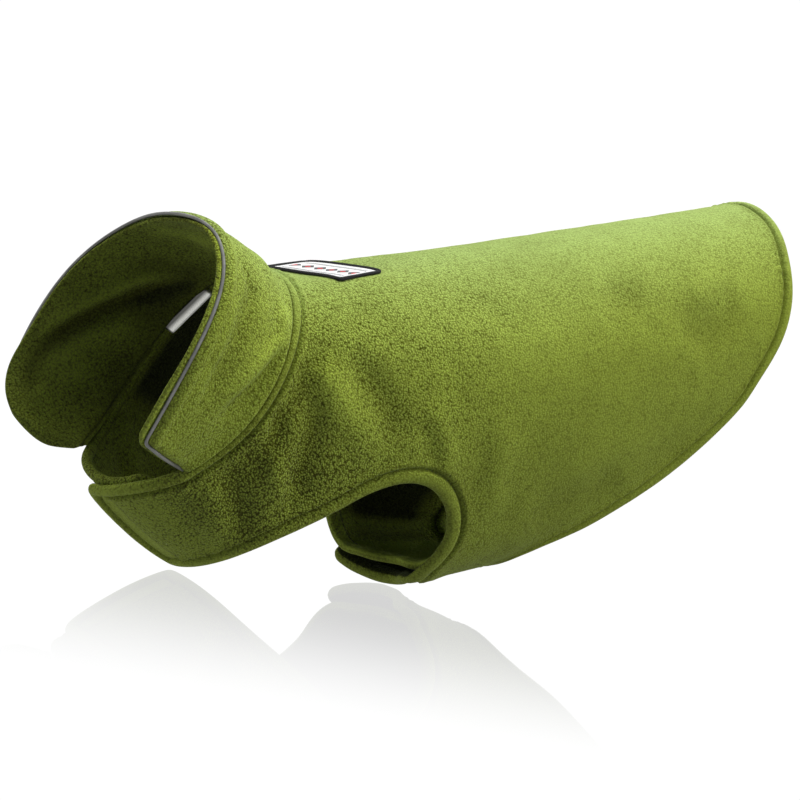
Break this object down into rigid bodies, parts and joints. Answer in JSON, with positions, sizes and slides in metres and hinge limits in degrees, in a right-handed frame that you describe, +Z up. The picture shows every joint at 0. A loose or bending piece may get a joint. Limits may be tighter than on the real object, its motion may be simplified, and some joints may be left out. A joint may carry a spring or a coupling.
{
  "type": "dog winter coat",
  "caption": "Fleece dog coat filled out as if worn, with a stand-up collar, a long back, chest and belly flaps closed by touch fastener, and open leg holes.",
  "frame": {"origin": "on the inner face of the back, on the spine at the neck seam, where the wearer's withers carry the coat", "axes": "+X along the back towards the tail, +Y towards the coat's right side, +Z up, with the back level as worn"},
  "size_m": [0.5362, 0.1655, 0.2454],
  "materials": {
    "olive_fleece": "brushed polyester fleece with a short curled pile, matt",
    "grey_piping": "corded piping in grey tape with a faint sheen",
    "white_twill": "white woven patch",
    "black_thread": "dense black overlock stitching",
    "grey_satin": "folded satin tape",
    "black_tape": "touch-fastener tape with its pile"
  },
  "bodies": {
    "root": {"body_panel": "olive_fleece", "collar": "olive_fleece", "collar_facing": "olive_fleece", "collar_piping": "grey_piping", "back_patch": "white_twill", "back_patch_border": "black_thread", "neck_tag": "grey_satin", "chest_hook_tape": "black_tape", "chest_loop_tape": "black_tape", "belly_hook_tape": "black_tape", "belly_loop_tape": "black_tape"}
  },
  "joints": []
}
